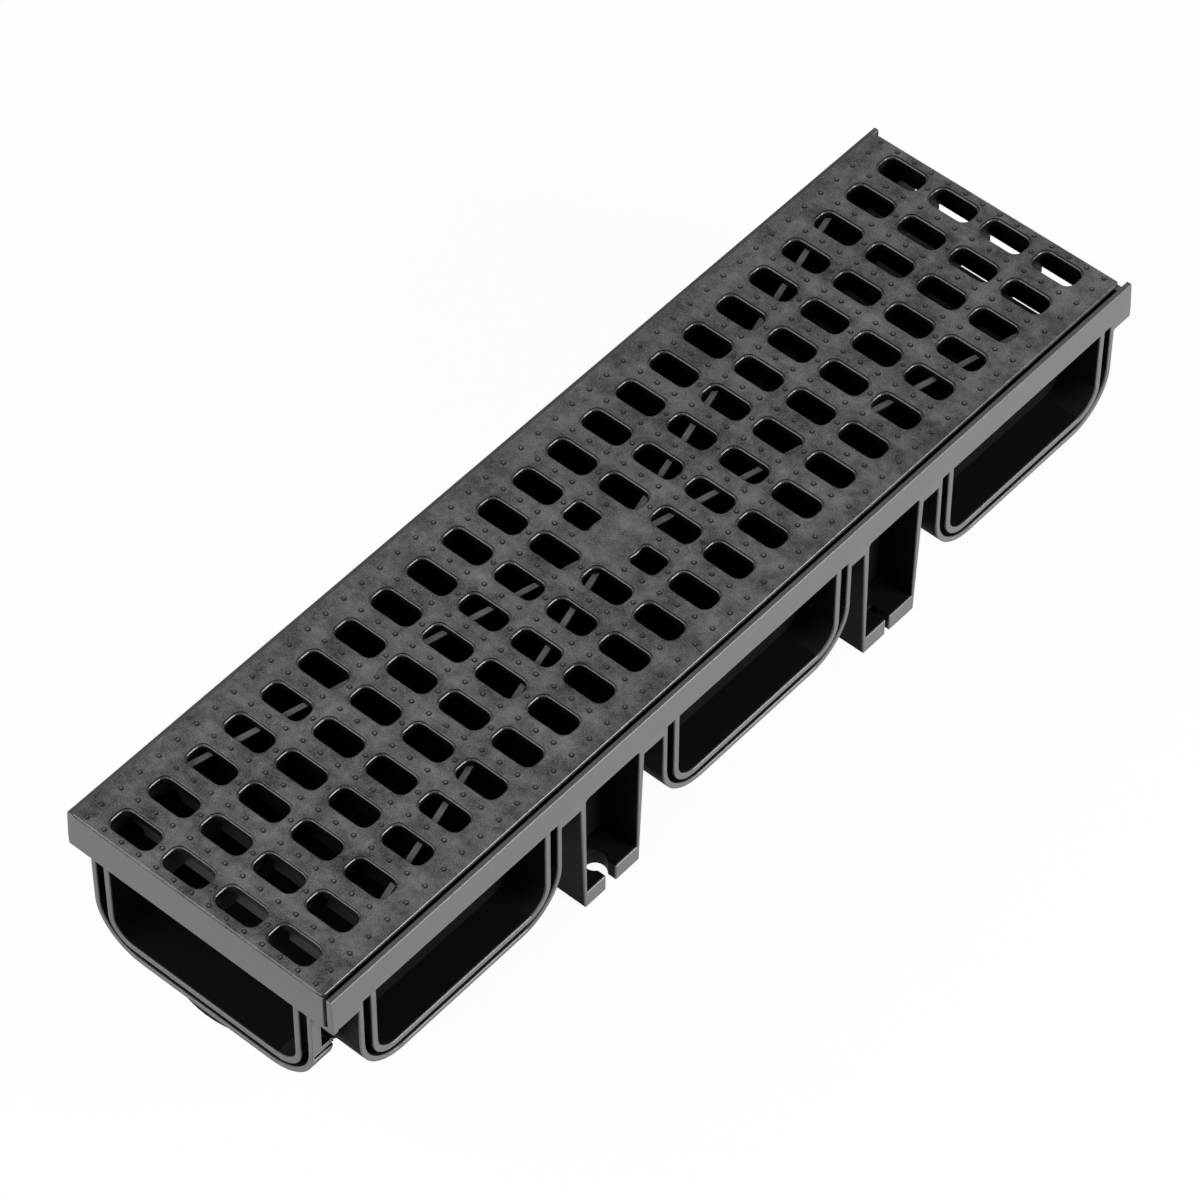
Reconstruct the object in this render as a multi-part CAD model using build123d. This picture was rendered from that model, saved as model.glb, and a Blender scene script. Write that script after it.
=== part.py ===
# Channel drain with side ports and a loose slotted grate.
# Sizes are in mm. Z is 0 under the feet, +Y runs along the channel towards its tongue end,
# and the origin is in the middle of the whole footprint.
import os
from math import atan2, degrees, hypot
from build123d import *

os.makedirs("parts", exist_ok=True)

# Driving sizes of the unit
unit_length = 500.0        # near face to the tips of the rims
tongue = 9.5               # how far the male tongue stands past the rims
height = 88.0              # feet to grate top
band_half = 71.3           # outer half width where the ports open
rim_lean = 0.7             # the rims lean in by this much at the top
rim_thick = 2.5
sink = 1.0                 # how far a shape runs into the one that carries it
body_top = height - 2.0    # rims and end walls
band_foot = height - 21.4  # lower edge of the rim band
ledge_top = height - 15.3  # where the ribs of the grate stand
ledge_thick = 2.1
wall = 3.0                 # trough, port shells and end walls

# Trough and the sockets, which share one half width so that units also join from the side
port_deep = 18.8
bore_round = 10.5
trough_floor = height - 62.8
port_floor = height - 60.9
groove = 4.3               # at the sides, takes the tongue of the next unit
groove_under = 3.1         # the same gap below the floor
groove_deep = 10.0
tongue_thick = 2.4
collar = 2.5               # outer rib round a groove
collar_web = 2.0           # closes the groove at its back
collar_round = 24.0
near_bore_top = height - 22.3
port_parts = (0.148, 0.5088, 0.8596)    # places along the unit, as parts of its length

# Windows in the sides of the near collar
window_from = 5.4
window_low = height - 46.3
slit_from = 1.2
slit_low = height - 51.2
slit_tall = 2.3

# Legs stand between the ports
leg_parts = (0.328, 0.6826)
leg_top_half = 19.5
leg_foot_half = 16.6
pocket_top_half = 16.3
pocket_foot_half = 15.4
pocket_round = 2.0
foot_thick = 9.0
foot_cut_shift = -0.9
keyhole_mouth = 6.2
keyhole_d = 10.5
keyhole_in = 8.7
foot_slot = 2.8
foot_slot_in = 10.0

# Outlet ring under the floor, front flush with the near end
outlet_r = 55.0
outlet_low = height - 73.8

# Corner slot between the near wall and one rim
corner_slot = 1.8
corner_slot_low = height - 20.4

# Grate
rows = 23
columns = 4
row_end = 10.95            # grate end to the middle of the first row
row_web = 9.05             # plate between two rows
column_side = 10.8         # grate side to the first column
column_web = 5.75          # plate between two slots of a row
slot_corner = 2.4          # corners cut straight, to keep so many slots light
grate_gap = 0.8            # to each rim when centred
rim_tip = 4.0              # the rims stand this far past the grate
grate_shift = -0.6         # it lies against one rim
plate = 4.0
lip = 1.8                  # thin edge that lies over the end walls
edge_round = 0.7
rib = 3.0
rib_deep = 18.0            # ribs between the ledges
brace = 3.2
brace_deep = 12.4
brace_side = 4.5           # the crossed braces end this far from the sides
brace_end = 7.0            # and this far from the ends
disc_r = 12.0
rib_clear = 1.0            # deep ribs stop this far from the ledges
end_clear = 0.5            # skirts and stringers stop this far from the end walls

# Derived places
near = -(unit_length + tongue) / 2
far = near + unit_length
grate_length = unit_length - rim_tip
grate_y = near + grate_length / 2
far_wall = near + grate_length
ledge_under = ledge_top - ledge_thick
bore_outer = band_half - port_deep
bore_half = bore_outer - wall
groove_outer = bore_outer + groove
collar_outer = groove_outer + collar
rim_half = band_half - rim_lean
rim_in = rim_half - rim_thick
port_at = [near + unit_length * part for part in port_parts]
leg_at = [near + unit_length * part for part in leg_parts]


def cup(half, low, high, corner, deep):
    """Block with a rounded bottom, open side on y = 0, going back along +y."""
    block = Pos(0, deep / 2, (low + high) / 2) * Box(2 * half, deep, high - low)
    return fillet(block.edges().filter_by(Axis.Y).group_by(Axis.Z)[0], corner)


def at_side(shape, side, y):
    """Turn a near end shape so that it opens sideways at the given place."""
    return Pos(side * band_half, y, 0) * Rot(0, 0, side * 90) * shape


def trapezium(top_half, foot_half, high, low, deep):
    """Upright block in x and z that narrows towards its foot, going back along +y."""
    line = Polyline((-top_half, 0, high), (top_half, 0, high), (foot_half, 0, low),
                    (-foot_half, 0, low), close=True)
    return extrude(make_face(line), amount=deep, dir=(0, 1, 0))


def socket_collar(floor, high, deep):
    low = floor - wall - groove_under - collar
    return cup(collar_outer, low, high, collar_round, deep)


def socket_groove(floor, high, deep):
    low = floor - wall - groove_under
    ring = cup(groove_outer, low, high, collar_round - collar, deep)
    return ring - cup(bore_outer, floor - wall, high, bore_round + wall, deep)


def rim_side(side, foot, length):
    line = Polyline((side * rim_in, near, body_top), (side * rim_half, near, body_top),
                    (side * band_half, near, ledge_top), (side * band_half, near, foot),
                    (side * rim_in, near, foot), close=True)
    return extrude(make_face(line), amount=length, dir=(0, 1, 0))


# Trough, rims, ledges and end walls
body = Pos(0, near, 0) * cup(bore_outer, trough_floor - wall, ledge_top, bore_round + wall, unit_length)
for side in (-1, 1):
    body += rim_side(side, band_foot, unit_length)
    body += rim_side(side, near_bore_top, wall)
    shelf = Box(rim_in + sink - bore_half, grate_length, ledge_thick)
    body += Pos(side * (rim_in + sink + bore_half) / 2, grate_y, ledge_top - ledge_thick / 2) * shelf
near_wall = Box(2 * rim_in, wall, body_top - near_bore_top)
body += Pos(0, near + wall / 2, (body_top + near_bore_top) / 2) * near_wall
far_end = Box(2 * rim_in, wall, body_top - ledge_top)
body += Pos(0, far_wall - wall / 2, (body_top + ledge_top) / 2) * far_end

# Near collar, ports and legs
near_collar = groove_deep + collar_web
body += Pos(0, near, 0) * socket_collar(trough_floor, near_bore_top + sink, near_collar)
leg = trapezium(leg_top_half, leg_foot_half, ledge_top, 0, band_half - bore_half)
for side in (-1, 1):
    for y in port_at:
        body += at_side(socket_collar(port_floor, ledge_top, port_deep + sink), side, y)
    for y in leg_at:
        body += at_side(leg, side, y)

# Outlet ring, and the flange and tongue of the male end
ring = Cylinder(outlet_r, trough_floor - wall + sink - outlet_low, align=(Align.CENTER, Align.CENTER, Align.MIN))
ring -= Cylinder(outlet_r - wall, trough_floor, align=(Align.CENTER, Align.CENTER, Align.MIN))
body += Pos(0, near + outlet_r, outlet_low) * ring
tongue_gap = (groove - tongue_thick) / 2
under_gap = (groove_under - tongue_thick) / 2
tongue_in = bore_outer + tongue_gap
tongue_outer = tongue_in + tongue_thick
tongue_floor = trough_floor - wall - under_gap
tongue_low = tongue_floor - tongue_thick
tongue_top = near_bore_top - under_gap
tongue_round = collar_round - collar - tongue_gap
flange = cup(tongue_outer, tongue_low, ledge_under, tongue_round, far - far_wall + wall)
body += Pos(0, far_wall - wall, 0) * flange
body += Pos(0, far, 0) * (cup(tongue_outer, tongue_low, tongue_top, tongue_round, tongue)
                          - cup(tongue_in, tongue_floor, tongue_top, tongue_round - tongue_thick, tongue))

# Clear the water way
body -= Pos(0, near, 0) * cup(bore_half, trough_floor, near_bore_top, bore_round, unit_length)
inside = far_wall - near - 2 * wall
open_top = Box(2 * bore_half, inside, body_top - near_bore_top)
body -= Pos(0, near + wall + inside / 2, (body_top + near_bore_top) / 2) * open_top
mouth = Box(2 * bore_half, far - far_wall + wall, ledge_top - near_bore_top)
body -= Pos(0, (far_wall - wall + far) / 2, (ledge_top + near_bore_top) / 2) * mouth
body -= Pos(0, near, 0) * socket_groove(trough_floor, near_bore_top, groove_deep)
window = Box(collar_outer - bore_outer, near_collar - window_from, near_bore_top - window_low)
slit = Box(collar_outer - bore_outer - tongue_gap, near_collar - slit_from, slit_tall)
for side in (-1, 1):
    body -= Pos(side * (collar_outer + bore_outer) / 2, near + (near_collar + window_from) / 2,
                (near_bore_top + window_low) / 2) * window
    body -= Pos(side * (collar_outer + bore_outer + tongue_gap) / 2, near + (near_collar + slit_from) / 2,
                slit_low + slit_tall / 2) * slit

# Clear the ports, the pockets in the legs and the cuts in the feet
port_hole = cup(bore_half, port_floor, ledge_under, bore_round, port_deep)
pocket = trapezium(pocket_top_half, pocket_foot_half, ledge_under, foot_thick, port_deep)
pocket = fillet(pocket.edges().filter_by(Axis.Y).group_by(Axis.Z)[-1], pocket_round)
keyhole = Pos(foot_cut_shift, keyhole_in / 2, foot_thick / 2) * Box(keyhole_mouth, keyhole_in, foot_thick)
keyhole += Pos(foot_cut_shift, keyhole_in, foot_thick / 2) * Cylinder(keyhole_d / 2, foot_thick)
notch = Pos(foot_cut_shift, foot_slot_in / 2, foot_thick / 2) * Box(foot_slot, foot_slot_in, foot_thick)
for side in (-1, 1):
    for y in port_at:
        body -= at_side(port_hole, side, y)
        body -= at_side(socket_groove(port_floor, ledge_under, port_deep - collar_web), side, y)
    for y, cut in zip(leg_at, (keyhole, notch)):
        # The cut keeps its place along the channel on both sides
        body -= at_side(pocket, side, y)
        body -= at_side(cut if side > 0 else mirror(cut, Plane.YZ), side, y)

# Slot at one near corner, with a round foot
corner_x = rim_in - corner_slot / 2
corner_tall = body_top - corner_slot_low - corner_slot / 2
body -= Pos(corner_x, near + wall / 2, body_top - corner_tall / 2) * Box(corner_slot, wall, corner_tall)
body -= Pos(corner_x, near + wall / 2, body_top - corner_tall) * Rot(90, 0, 0) * Cylinder(corner_slot / 2, wall)
export_step(body, "parts/channel_body.step")

# Grate plate with rounded edges, its slots and the solid disc in the middle
top = height
grate_half = rim_in - grate_gap
row_pitch = (grate_length - 2 * row_end) / (rows - 1)
column_pitch = 2 * (grate_half - column_side) / columns
slot_y = [(i - (rows - 1) / 2) * row_pitch for i in range(rows)]
slot_x = [(i - (columns - 1) / 2) * column_pitch for i in range(columns)]
cover = Pos(0, 0, top - plate / 2) * Box(2 * grate_half, grate_length, plate)
cover = fillet(cover.edges().group_by(Axis.Z)[-1], edge_round)
opening = Box(column_pitch - column_web, row_pitch - row_web, plate)
opening = chamfer(opening.edges().filter_by(Axis.Z), slot_corner)
cover -= [Pos(x, y, top - plate / 2) * opening for y in slot_y for x in slot_x]
cover += Pos(0, 0, top - plate / 2) * Cylinder(disc_r, plate)

# Thin lips over the end walls and skirts that stand on the ledges
lip_reach = wall + end_clear
inner_length = grate_length - 2 * lip_reach
for side in (-1, 1):
    under = Box(2 * grate_half, lip_reach, plate - lip)
    cover -= Pos(0, side * (grate_length - lip_reach) / 2, top - (plate + lip) / 2) * under
    skirt = Box(rib, inner_length, top - edge_round - ledge_top)
    cover += Pos(side * (grate_half - rib / 2), 0, (top - edge_round + ledge_top) / 2) * skirt

# Cross ribs under the webs between rows, deep between the ledges and shallow over them
bars = []
for y in slot_y[:-1]:
    y += row_pitch / 2
    bars.append(Pos(0, y, top - (rib_deep + plate / 2) / 2)
                * Box(2 * (bore_half - rib_clear), rib, rib_deep - plate / 2))
    bars.append(Pos(0, y, (top - plate / 2 + ledge_top) / 2)
                * Box(2 * grate_half - rib, rib, top - plate / 2 - ledge_top))

# Stringers beside the columns, and two braces crossed from corner to corner
for i in range(columns + 1):
    foot = ledge_top if i in (0, columns) else top - rib_deep
    bars.append(Pos((i - columns / 2) * column_pitch, 0, (top - plate / 2 + foot) / 2)
                * Box(rib, inner_length, top - plate / 2 - foot))
brace_x, brace_y = grate_half - brace_side, grate_length / 2 - brace_end
brace_bar = Box(brace, 2 * hypot(brace_x, brace_y), brace_deep - plate)
for turn in (-1, 1):
    angle = turn * degrees(atan2(brace_x, brace_y))
    bars.append(Pos(0, 0, top - (brace_deep + plate) / 2) * Rot(0, 0, angle) * brace_bar)
cover += bars
cover = Pos(grate_shift, grate_y, 0) * cover
export_step(cover, "parts/grate.step")
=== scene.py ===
# Channel drain with a loose slotted grate, in the frame of the CAD part.
# Sizes in the dictionaries are in millimetres.
import math

import bmesh
import bpy
from mathutils import Matrix, Vector


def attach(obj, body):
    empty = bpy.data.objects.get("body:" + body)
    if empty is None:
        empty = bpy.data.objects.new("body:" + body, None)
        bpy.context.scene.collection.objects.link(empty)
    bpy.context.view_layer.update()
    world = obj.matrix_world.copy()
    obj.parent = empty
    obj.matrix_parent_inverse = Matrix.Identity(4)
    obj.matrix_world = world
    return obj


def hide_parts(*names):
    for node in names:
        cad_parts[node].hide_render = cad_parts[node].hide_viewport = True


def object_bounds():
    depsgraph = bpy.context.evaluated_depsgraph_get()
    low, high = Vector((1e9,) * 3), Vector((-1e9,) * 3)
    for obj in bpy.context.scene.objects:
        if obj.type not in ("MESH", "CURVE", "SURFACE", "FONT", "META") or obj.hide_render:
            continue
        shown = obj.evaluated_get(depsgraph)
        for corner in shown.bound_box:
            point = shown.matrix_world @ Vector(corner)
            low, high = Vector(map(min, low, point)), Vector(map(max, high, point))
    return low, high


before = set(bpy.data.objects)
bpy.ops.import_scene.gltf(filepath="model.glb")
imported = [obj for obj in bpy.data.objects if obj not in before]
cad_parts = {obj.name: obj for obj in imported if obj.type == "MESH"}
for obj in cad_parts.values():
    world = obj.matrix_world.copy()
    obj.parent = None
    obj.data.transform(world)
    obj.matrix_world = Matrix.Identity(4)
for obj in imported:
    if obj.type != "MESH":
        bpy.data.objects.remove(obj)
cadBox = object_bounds()
mm = 0.001
print("frame loaded", [round(v / mm, 1) for v in cadBox[1]])


# Shader helpers
class Wire:
    # Wraps a socket so that shader maths reads as an expression
    def __init__(self, bench, socket):
        self.bench = bench
        self.socket = socket

    def maths(self, operation, first, second=0.0):
        return self.bench.node("ShaderNodeMath", {"operation": operation}, {0: first, 1: second})

    def __add__(self, other):
        return self.maths("ADD", self, other)

    def __radd__(self, other):
        return self.maths("ADD", other, self)

    def __sub__(self, other):
        return self.maths("SUBTRACT", self, other)

    def __rsub__(self, other):
        return self.maths("SUBTRACT", other, self)

    def __mul__(self, other):
        return self.maths("MULTIPLY", self, other)

    def __rmul__(self, other):
        return self.maths("MULTIPLY", other, self)

    def __abs__(self):
        return self.maths("ABSOLUTE", self)

    def larger(self, other):
        return self.maths("MAXIMUM", self, other)

    def wave(self):
        return self.maths("COSINE", self)


class Bench:
    # One material or world and the nodes on it
    def __init__(self, owner):
        self.owner = owner
        owner.use_nodes = True
        self.tree = owner.node_tree
        self.tree.nodes.clear()

    def node(self, kind, settings=None, inputs=None, out=0):
        made = self.tree.nodes.new(kind)
        for key, value in (settings or {}).items():
            setattr(made, key, value)
        for key, value in (inputs or {}).items():
            if isinstance(value, Wire):
                self.tree.links.new(value.socket, made.inputs[key])
            else:
                made.inputs[key].default_value = value
        return Wire(self, made.outputs[out]) if len(made.outputs) else None

    def place(self):
        return self.node("ShaderNodeTexCoord", out="Object")

    def facing(self):
        return self.node("ShaderNodeTexCoord", out="Normal")

    def axes(self, vector):
        split = self.node("ShaderNodeSeparateXYZ", inputs={0: vector})
        return [Wire(self, socket) for socket in split.socket.node.outputs]

    def noise(self, vector, size, detail=2.0, roughness=0.5):
        # Size is the width of one blotch in millimetres
        return self.node("ShaderNodeTexNoise", inputs={
            "Vector": vector, "Scale": 1.0 / (size * mm), "Detail": detail, "Roughness": roughness})

    def ramp(self, value, low, high, start=0.0, end=1.0):
        # Runs smoothly from start to end while the value goes from low to high
        return self.node("ShaderNodeMapRange", {"interpolation_type": "SMOOTHSTEP"}, {
            "Value": value, "From Min": low, "From Max": high, "To Min": start, "To Max": end})

    def band(self, value, low, high, start=0.0):
        # The same for a place on the object, in millimetres
        return self.ramp(value, low * mm, high * mm, start)

    def grey(self, value):
        return self.node("ShaderNodeCombineColor", inputs={0: value, 1: value, 2: value})

    def bump(self, height, strength, depth):
        return self.node("ShaderNodeBump", inputs={
            "Height": height, "Strength": strength, "Distance": depth * mm})

    def seesWhite(self):
        # These rays find the studio white, and the rest find its plain light
        rays = [self.node("ShaderNodeLightPath", out=name)
                for name in ("Is Camera Ray", "Is Transmission Ray", "Is Glossy Ray")]
        return rays[0].larger(rays[1]).larger(rays[2])

    def blend(self, amount, first, second):
        return self.node("ShaderNodeMixShader", inputs={0: amount, 1: first, 2: second})

    def finish(self, surface, kind="ShaderNodeOutputMaterial"):
        self.node(kind, inputs={"Surface": surface})
        return self.owner


def tone(value):
    return (value, value, value, 1.0)


# Mesh helpers
def pieceFrom(bm, name, material, replaced):
    bmesh.ops.remove_doubles(bm, verts=bm.verts, dist=0.002 * mm)
    bmesh.ops.recalc_face_normals(bm, faces=bm.faces)
    mesh = meshOf(bm, name)
    mesh.materials.append(material)
    piece = bpy.data.objects.new(name, mesh)
    bpy.context.scene.collection.objects.link(piece)
    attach(piece, "root")
    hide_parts(replaced)
    print("piece", name, len(mesh.polygons), "faces")
    return piece


def meshOf(bm, name):
    mesh = bpy.data.meshes.new(name)
    bm.to_mesh(mesh)
    bm.free()
    return mesh


def stamp(bm, shape, matrix):
    # Adds a copy of a small mesh at its place
    count = len(bm.verts)
    bm.from_mesh(shape)
    bm.verts.ensure_lookup_table()
    bmesh.ops.transform(bm, matrix=matrix, verts=bm.verts[count:])


def at(x, y, z=0.0):
    return Matrix.Translation((x * mm, y * mm, z * mm))


def roundEdges(bm, edges, width, clamp):
    bmesh.ops.bevel(bm, geom=edges, offset=width * mm, offset_type="OFFSET", affect="EDGES",
                    segments=1, profile=0.5, material=-1, clamp_overlap=clamp)


def bar(bm, size, centre, edge, turn=0.0):
    # Rib, skirt or brace with softened edges
    work = bmesh.new()
    bmesh.ops.create_cube(work, size=1.0)
    bmesh.ops.scale(work, vec=Vector(size) * mm, verts=work.verts)
    roundEdges(work, work.edges[:], edge, True)
    shape = meshOf(work, "bar")
    stamp(bm, shape, at(*centre) @ Matrix.Rotation(turn, 4, "Z"))
    bpy.data.meshes.remove(shape)


def pull(bm, ring, grow, shift, height):
    # Carries a ring of edges on to its next outline, scaled about the middle of the hole
    made = bmesh.ops.extrude_edge_only(bm, edges=ring)["geom"]
    verts = [g for g in made if isinstance(g, bmesh.types.BMVert)]
    edges = [g for g in made if isinstance(g, bmesh.types.BMEdge)
             and all(v in verts for v in g.verts)]
    for v in verts:
        v.co.x = shift * mm + (v.co.x - shift * mm) * grow[0]
        v.co.y *= grow[1]
        v.co.z = height * mm
    return edges


def roundedFace(wide, long, corner):
    bm = bmesh.new()
    bmesh.ops.create_grid(bm, x_segments=1, y_segments=1, size=0.5)
    bmesh.ops.scale(bm, vec=(wide * mm, long * mm, 1), verts=bm.verts)
    bmesh.ops.bevel(bm, geom=bm.verts[:], offset=corner * mm, offset_type="OFFSET",
                    affect="VERTICES", segments=grate["cornerSteps"], profile=0.5, material=-1)
    return bm


# Grate
# A slot's lip goes down from the top in steps, each (out from the slot, below the top)
grate = dict(x=-0.6, y=-6.75, top=87.6, plate=4.0, halfWide=67.3, halfLong=248.0, corner=1.4,
             rim=0.55, rimSteps=3, lip=1.8, lipReach=3.5, sideReach=0.4,
             rows=23, columns=4, rowPitch=21.55, columnPitch=28.25,
             slotWide=21.6, slotLong=11.4, slotRound=4.2, cornerSteps=5,
             slotLip=((0.0, 1.2), (0.12, 0.87), (0.34, 0.6), (0.8, 0.55), (0.85, 0.1), (1.0, 0.0)),
             disc=12.0, discCut=0.7, discRound=3.0, discSteps=9)


def grateFinish():
    look = dict(
        top=0.082, wall=0.001, rib=0.045, brace=0.13,  # greys of the plate's lit top and of what lies below, where the near-black is painted shade and the rib and brace greys are painted light
        side=0.45, end=0.8,  # how much of the top's lit grey its outer edges get, painted light
        blotchSize=8.0, patchSize=24.0, fleckSize=2.4, grainSize=0.6,
        even=0.9, crossing=0.3, blotch=1.8, patch=1.5, fleck=1.1, grain=2.6,
        rough=0.46, roughBlotch=0.2, bump=0.6, bumpDeep=0.2, bumpGrain=0.8, bumpBlotch=1.6,
        gloss=0.8, studGloss=0.1, glossRough=0.25, shine=0.12)
    g = grate
    low = g["top"] - g["plate"]
    near = g["y"] - g["halfLong"]
    bench = Bench(bpy.data.materials.new("grate_moulding"))
    place = bench.place()
    x, y, z = bench.axes(place)
    up = bench.axes(bench.facing())[2]
    blotch = bench.noise(place, look["blotchSize"], 3.0, 0.6) - 0.5
    patch = bench.noise(place, look["patchSize"]) - 0.5
    fleck = bench.noise(place, look["fleckSize"], 2.0, 0.6) - 0.5
    grain = bench.noise(place, look["grainSize"], 2.0, 0.7) - 0.5
    # The webs are lighter where they cross
    fromX, fromY = x - g["x"] * mm, y - g["y"] * mm
    across = fromX * (2 * math.pi / (g["columnPitch"] * mm))
    along = fromY * (2 * math.pi / (g["rowPitch"] * mm))
    crossing = bench.ramp(across.wave() - along.wave(), 0.6, 2.0)
    mottle = look["even"] + look["crossing"] * crossing + look["blotch"] * blotch \
        + look["patch"] * patch + look["fleck"] * fleck + look["grain"] * grain
    # Painted light and shade: only the plate's up-facing top and outer edges take the lit grey, and all
    # other faces keep the near-black painted shade
    upper = bench.band(z, low + 1.9, low + 2.9)
    side = bench.band(abs(fromX), g["halfWide"] - 0.3, g["halfWide"] - 0.1)
    end = bench.band(abs(fromY), g["halfLong"] - 0.3, g["halfLong"] - 0.1)
    lit = bench.ramp(up, 0.87, 0.985).larger(look["side"] * side).larger(look["end"] * end) * upper
    # Painted light: the braces' upper faces, seen through the slots, get a lighter grey than their sides
    brace = bench.ramp(up, 0.8, 0.95) * bench.band(z, low - 0.6, low - 0.3) \
        * bench.band(z, low + 1.9, low + 0.9)
    # Painted light: only the first ribs, near the open near end, get a lighter grey, standing for the
    # light that comes in there
    under = bench.band(z, low - 0.2, low - 0.6) * bench.band(y, near + 60.0, near + 12.0)
    bright = look["wall"] + look["rib"] * under \
        + (look["top"] - look["wall"]) * lit * mottle + look["brace"] * brace
    # Rounded edges shine, and the flanks of the studs stay dull
    edge = bench.ramp(up, 0.1, 0.4) * bench.ramp(up, 0.98, 0.9) * upper \
        * bench.band(z, g["top"] + 0.2, g["top"], look["studGloss"])
    rough = look["rough"] + look["roughBlotch"] * blotch
    height = look["bumpGrain"] * (grain + fleck) + look["bumpBlotch"] * blotch
    return bench.finish(bench.node("ShaderNodeBsdfPrincipled", inputs={
        "Base Color": bench.grey(bright), "Roughness": rough,
        "Normal": bench.bump(height, look["bump"], look["bumpDeep"]),
        "Coat Weight": look["gloss"] * edge, "Coat Roughness": look["glossRough"],
        "Specular IOR Level": look["shine"]}))


def sleeve(bm, wide, long, shift=0.0):
    # Wall of one slot, with the small step that runs out on to the top face
    bmesh.ops.delete(bm, geom=bm.faces[:], context="FACES_ONLY")
    for v in bm.verts:
        v.co.z = (grate["top"] - grate["plate"]) * mm
    ring, last = bm.edges[:], (1.0, 1.0)
    for out, drop in grate["slotLip"]:
        size = ((wide + 2 * out) / wide, (long + 2 * out) / long)
        ring = pull(bm, ring, (size[0] / last[0], size[1] / last[1]), shift, grate["top"] - drop)
        last = size
    return bm


def slotHole():
    wide, long = grate["slotWide"], grate["slotLong"]
    return meshOf(sleeve(roundedFace(wide, long, grate["slotRound"]), wide, long), "slot")


def discHole():
    # The two middle slots end on the solid disc, with rounded corners
    inner = grate["disc"] - grate["discCut"]
    outer = (grate["columnPitch"] + grate["slotWide"]) / 2
    wide, middle = outer - inner, (outer + inner) / 2
    bm = roundedFace(wide, grate["slotLong"], grate["discRound"])
    inside = [e for e in bm.edges if all(v.co.x < (0.01 - wide / 2) * mm for v in e.verts)]
    bmesh.ops.subdivide_edges(bm, edges=inside, cuts=grate["discSteps"])
    bmesh.ops.translate(bm, verts=bm.verts, vec=(middle * mm, 0, 0))
    for v in bm.verts:
        if v.co.xy.length < grate["disc"] * mm:
            v.co.x = math.sqrt((grate["disc"] * mm) ** 2 - v.co.y ** 2)
    return meshOf(sleeve(bm, wide, grate["slotLong"], middle), "disc_slot")


def addSlots(bm):
    g = grate
    slot, discSlot = slotHole(), discHole()
    for row in range(g["rows"]):
        y = (row - (g["rows"] - 1) / 2) * g["rowPitch"]
        for column in range(g["columns"]):
            x = (column - (g["columns"] - 1) / 2) * g["columnPitch"]
            if row == (g["rows"] - 1) // 2 and abs(x) < g["columnPitch"]:
                stamp(bm, discSlot, Matrix.Scale(math.copysign(1, x), 4, (1, 0, 0)))
            else:
                stamp(bm, slot, at(x, y))


def addOuterEdge(bm):
    # Rounded rim above the lip, then the step in to the thick plate
    g = grate
    size = (2 * g["halfWide"], 2 * g["halfLong"])
    work = roundedFace(*size, g["corner"])
    bmesh.ops.delete(work, geom=work.faces[:], context="FACES_ONLY")
    for v in work.verts:
        v.co.z = (g["top"] - g["lip"]) * mm
    lower = work.edges[:]
    ring, last = lower, (1.0, 1.0)
    for step in range(g["rimSteps"] + 1):
        turn = math.pi / 2 * step / g["rimSteps"]
        shrink = g["rim"] * (1 - math.cos(turn))
        grow = ((size[0] - 2 * shrink) / size[0], (size[1] - 2 * shrink) / size[1])
        ring = pull(work, ring, (grow[0] / last[0], grow[1] / last[1]), 0.0,
                    g["top"] - g["rim"] * (1 - math.sin(turn)))
        last = grow
    inset = ((size[0] - 2 * g["sideReach"]) / size[0], (size[1] - 2 * g["lipReach"]) / size[1])
    ring = pull(work, lower, inset, 0.0, g["top"] - g["lip"])
    pull(work, ring, (1.0, 1.0), 0.0, g["top"] - g["plate"])
    stamp(bm, meshOf(work, "rim"), Matrix.Identity(4))


def fillFaces(bm):
    # Closes the plate's top and underside around the slots
    bmesh.ops.remove_doubles(bm, verts=bm.verts, dist=0.001 * mm)
    for height in (grate["top"], grate["top"] - grate["plate"]):
        edges = [e for e in bm.edges if e.is_boundary
                 and all(abs(v.co.z - height * mm) < 0.001 * mm for v in e.verts)]
        bmesh.ops.triangle_fill(bm, use_beauty=True, use_dissolve=False, edges=edges, normal=(0, 0, 1))
    print("grate plate", len(bm.faces), "faces, open edges", sum(e.is_boundary for e in bm.edges))


def addRibs(bm):
    # Ribs between the rows, stringers beside the columns, skirts and crossed braces
    ribs = dict(ledge=72.7, deep=70.0, brace=75.6, thick=3.0, sink=2.0, span=97.0, edge=0.3,
                braceWide=3.2, braceX=62.8, braceY=241.0, apart=0.1)
    g = grate
    low = g["top"] - g["plate"]
    head = g["top"] - ribs["sink"]
    inner = 2 * (g["halfLong"] - g["lipReach"])
    wide = 2 * g["halfWide"] - ribs["thick"]
    # Bars that share a plane are kept a little apart
    for row in range(g["rows"] - 1):
        y = (row - (g["rows"] - 2) / 2) * g["rowPitch"]
        for long, foot, thick in ((ribs["span"], ribs["deep"], ribs["thick"]),
                                  (wide, ribs["ledge"], ribs["thick"] - ribs["apart"])):
            bar(bm, (long, thick, head - foot), (0, y, (head + foot) / 2), ribs["edge"])
    for i in range(g["columns"] + 1):
        foot = (ribs["ledge"] if i in (0, g["columns"]) else ribs["deep"]) + ribs["apart"]
        x = (i - g["columns"] / 2) * g["columnPitch"]
        bar(bm, (ribs["thick"], inner, head - foot), (x, 0, (head + foot) / 2), ribs["edge"])
    long = 2 * math.hypot(ribs["braceX"], ribs["braceY"])
    turn = math.atan2(ribs["braceX"], ribs["braceY"])
    for side in (-1, 1):
        x = side * (g["halfWide"] - ribs["thick"] / 2 - g["sideReach"])
        bar(bm, (ribs["thick"], inner, head - ribs["ledge"]), (x, 0, (head + ribs["ledge"]) / 2),
            ribs["edge"])
        drop = max(side, 0) * ribs["apart"]
        bar(bm, (ribs["braceWide"], long, low - ribs["brace"] - drop),
            (0, 0, (low + ribs["brace"] - drop) / 2), ribs["edge"], side * turn)


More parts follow.
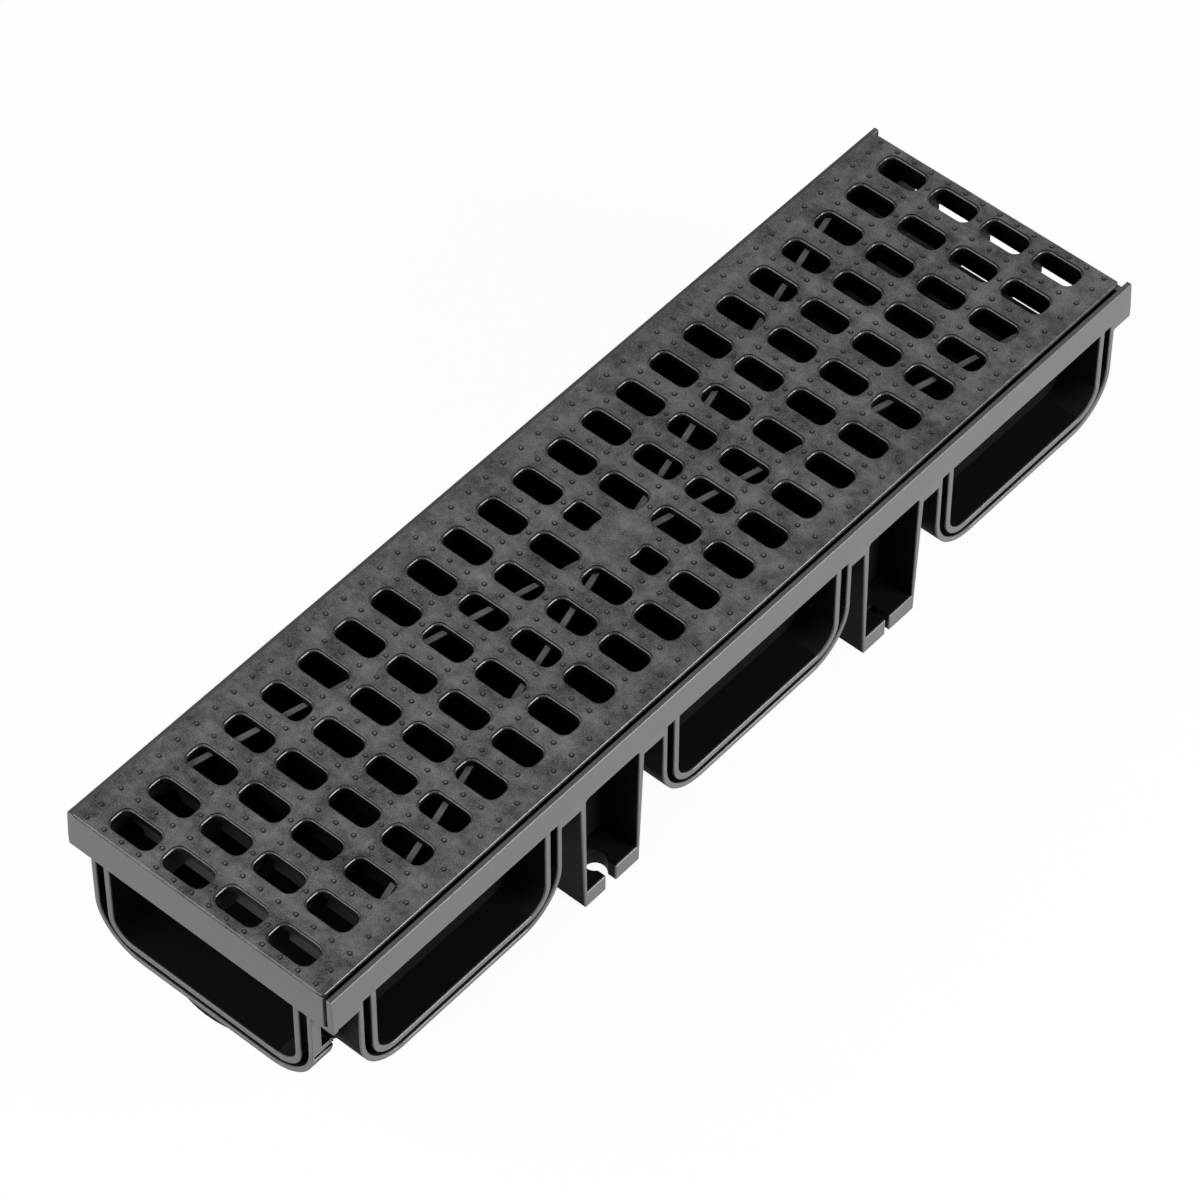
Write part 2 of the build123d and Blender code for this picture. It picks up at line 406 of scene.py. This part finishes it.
def addStuds(bm):
    # Grip studs stand on the webs, a third of a column apart, and beside every slot
    studs = dict(radius=1.7, flat=0.6, tall=0.4, sink=0.2, sides=12)
    g = grate
    work = bmesh.new()
    bmesh.ops.create_cone(work, cap_ends=True, segments=studs["sides"], radius1=studs["radius"] * mm,
                          radius2=studs["flat"] * mm, depth=(studs["tall"] + studs["sink"]) * mm)
    stud = meshOf(work, "stud")
    third = g["columnPitch"] / 3
    across = [(i + 0.5) * third for i in range(-7, 7)]
    between = [across[0], -g["columnPitch"], 0, g["columnPitch"], across[-1]]
    end = ((g["rows"] - 1) * g["rowPitch"] / 2 + g["slotLong"] / 2 + g["halfLong"]) / 2
    lines = [(line - (g["rows"] - 2) / 2) * g["rowPitch"] for line in range(g["rows"] - 1)] + [-end, end]
    middles = [(row - (g["rows"] - 1) / 2) * g["rowPitch"] for row in range(g["rows"])]
    places = [(x, y) for y in lines for x in across] + [(x, y) for y in middles for x in between]
    places = [place for place in places if math.hypot(*place) > g["disc"] + studs["radius"]]
    for x, y in places:
        stamp(bm, stud, at(x, y, g["top"] + (studs["tall"] - studs["sink"]) / 2))
    print("studs", len(places))


def buildGrate():
    bm = bmesh.new()
    addSlots(bm)
    addOuterEdge(bm)
    fillFaces(bm)
    addRibs(bm)
    addStuds(bm)
    bmesh.ops.translate(bm, verts=bm.verts, vec=(grate["x"] * mm, grate["y"] * mm, 0))
    return pieceFrom(bm, "grate_moulding", grateFinish(), "grate")


grateObject = buildGrate()


# Channel body
body = dict(half=71.3, lean=0.7 / 13.3, ledge=72.7, near=-254.75, far=245.25, rim=85.6,
            collar=59.0, collarFoot=16.6, collarLong=12.0, flank=17.0,
            merge=0.004, flat=0.5, sharp=35, edge=0.3)


def bodyFinish():
    look = dict(
        outer=0.09, deep=0.006,  # lit grey outside, and near-black painted shade inside
        rim=0.62, flank=0.02, paintedEdgeHighlight=0.5,  # shares of the outer grey: painted shade on up-facing tops, painted light on front flanks, painted highlight on softened edges
        blotchSize=30.0, grainSize=0.3, even=0.92, blotch=0.1, grain=0.06,
        rough=0.42, roughBlotch=0.08, bump=0.15, bumpDeep=0.05,
        gloss=0.45, glossRough=0.3, shine=0.02)
    b = body
    bench = Bench(bpy.data.materials.new("body_moulding"))
    place = bench.place()
    x, y, z = bench.axes(place)
    turnX, turnY, turnZ = bench.axes(bench.facing())
    blotch = bench.noise(place, look["blotchSize"])
    grain = bench.noise(place, look["grainSize"], 2.0, 0.6)
    # How far a point lies behind the outer planes, which lean in above the ledge
    behind = b["half"] * mm - (z - b["ledge"] * mm).larger(0.0) * b["lean"] - abs(x)
    side = bench.band(behind, 1.1, 0.4)
    front = bench.band(y, b["near"] + 1.0, b["near"] + 0.5) \
        * bench.band(z, b["collarFoot"] - 0.4, b["collarFoot"] + 0.1)
    back = bench.band(y, b["far"] - 1.0, b["far"] - 0.5) * bench.ramp(turnY, 0.4, 0.8)
    collar = bench.band(abs(x), b["collar"] - 1.0, b["collar"]) \
        * bench.band(y, b["near"] + b["collarLong"] + 1.0, b["near"] + b["collarLong"]) \
        * bench.ramp(abs(turnX), 0.3, 0.8)
    rims = bench.band(z, b["rim"] - 0.4, b["rim"])
    under = bench.ramp(turnZ, -0.5, -0.9)
    # Painted light and shade: faces on the outer planes, ends, collars, rims and undersides take the lit
    # grey, and everything set back behind them gets the near-black painted shade
    outer = side.larger(front).larger(back).larger(collar).larger(under).larger(rims)
    # Painted light: front-facing flanks close behind the outer planes get a trace of the lit grey
    flank = bench.ramp(turnY, -0.5, -0.9) * bench.band(behind, b["flank"], 0.5)
    lit = outer.larger(look["flank"] * flank)
    # Painted shade makes the up-facing tops, such as the rims, darker, and a painted highlight makes the
    # softened outer edges lighter
    above = 1.0 - (1.0 - look["rim"]) * bench.ramp(turnZ, 0.5, 0.9)
    edge = bench.ramp(abs(turnZ), 0.3, 0.6) * bench.ramp(abs(turnZ), 0.9, 0.8) * outer
    above = above * (1.0 + look["paintedEdgeHighlight"] * edge)
    moulded = look["even"] + look["blotch"] * blotch + look["grain"] * grain
    bright = look["deep"] + look["outer"] * lit * above * moulded
    return bench.finish(bench.node("ShaderNodeBsdfPrincipled", inputs={
        "Base Color": bench.grey(bright), "Roughness": look["rough"] + look["roughBlotch"] * blotch,
        "Normal": bench.bump(grain, look["bump"], look["bumpDeep"]),
        "Coat Weight": look["gloss"] * outer, "Coat Roughness": look["glossRough"],
        "Specular IOR Level": look["shine"]}))


def buildBody():
    # A merged copy of the CAD mesh with softened outer edges
    b = body
    bm = bmesh.new()
    bm.from_mesh(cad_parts["channel_body"].data)
    bmesh.ops.remove_doubles(bm, verts=bm.verts, dist=b["merge"] * mm)
    bmesh.ops.dissolve_limit(bm, angle_limit=math.radians(b["flat"]), verts=bm.verts, edges=bm.edges)
    edges = [e for e in bm.edges if e.is_convex and e.calc_face_angle() > math.radians(b["sharp"])]
    print("body edges to soften", len(edges), "open", sum(e.is_boundary for e in bm.edges))
    roundEdges(bm, edges, b["edge"], False)
    # Long bevels at shallow corners may reach past the outer faces
    for v in bm.verts:
        v.co = [min(max(value, least), most) for value, least, most in zip(v.co, *cadBox)]
    return pieceFrom(bm, "channel_moulding", bodyFinish(), "channel_body")


bodyObject = buildBody()


# Floor, lights and camera
studio = dict(
    fill=0.09, paper=0.85, seen=0.95, floorZ=-0.3, floorSize=6.0,
    # Name, place and size in metres, watts
    lamps=(("right_softbox", (1.5, 0.55, 0.58), (1.0, 0.7), 44.0),
           ("front_softbox", (-0.66, -1.28, 0.84), (1.9, 1.1), 32.5),
           ("back_softbox", (-1.15, 1.45, 0.7), (1.6, 1.0), 3.0),
           ("top_softbox", (0.0, 0.0, 2.2), (1.6, 1.6), 1.5)),
    aim=(0, 0, 0.05),
    # The camera stands in metres, with the directions of the photograph's rows, columns and depth
    sensor=36.0, lens=174.05, camera=(1.0021, -1.17175, 1.8881), right=(0.75348, 0.65747, 0.00228),
    down=(0.50573, -0.57737, -0.64100), ahead=(-0.42012, 0.48413, -0.76754), nearest=0.1, farthest=20.0)


def stageWorld():
    bench = Bench(bpy.data.worlds.new("studio"))
    fill = bench.node("ShaderNodeBackground", inputs={"Color": tone(1.0), "Strength": studio["fill"]})
    white = bench.node("ShaderNodeBackground", inputs={"Color": tone(1.0), "Strength": 1.0})
    surface = bench.blend(bench.seesWhite(), fill, white)
    bpy.context.scene.world = bench.finish(surface, "ShaderNodeOutputWorld")


def stageFloor():
    # White to the camera but for the soft shadow, and clear when looked at from below
    bench = Bench(bpy.data.materials.new("studio_floor"))
    paper = bench.node("ShaderNodeBsdfDiffuse", inputs={"Color": tone(studio["paper"])})
    glow = bench.node("ShaderNodeEmission", inputs={"Color": tone(1.0), "Strength": 1.0})
    sheet = bench.blend(bench.seesWhite() * studio["seen"], paper, glow)
    below = bench.node("ShaderNodeNewGeometry", out="Backfacing")
    material = bench.finish(bench.blend(below, sheet, bench.node("ShaderNodeBsdfTransparent")))
    bm = bmesh.new()
    bmesh.ops.create_grid(bm, x_segments=1, y_segments=1, size=studio["floorSize"])
    bmesh.ops.translate(bm, verts=bm.verts, vec=(0, 0, studio["floorZ"] * mm))
    floor = bpy.data.objects.new("studio_floor", meshOf(bm, "studio_floor"))
    floor.data.materials.append(material)
    bpy.context.scene.collection.objects.link(floor)


def hangLamps():
    for name, place, size, watts in studio["lamps"]:
        lamp = bpy.data.lights.new(name, "AREA")
        lamp.shape = "RECTANGLE"
        lamp.size, lamp.size_y = size
        lamp.energy = watts
        holder = bpy.data.objects.new(name, lamp)
        holder.location = place
        holder.rotation_euler = (Vector(studio["aim"]) - Vector(place)).to_track_quat("-Z", "Y").to_euler()
        bpy.context.scene.collection.objects.link(holder)


def setCamera():
    lens = bpy.data.cameras.new("catalogue_view")
    lens.sensor_width = studio["sensor"]
    lens.lens = studio["lens"]
    lens.clip_start, lens.clip_end = studio["nearest"], studio["farthest"]
    camera = bpy.data.objects.new("catalogue_view", lens)
    turn = Matrix((studio["right"], -Vector(studio["down"]), -Vector(studio["ahead"]))).transposed()
    camera.matrix_world = Matrix.Translation(studio["camera"]) @ turn.to_4x4()
    bpy.context.scene.collection.objects.link(camera)
    bpy.context.scene.camera = camera
    bpy.context.scene.view_settings.view_transform = "Standard"


stageWorld()
stageFloor()
hangLamps()
setCamera()
print("studio set")
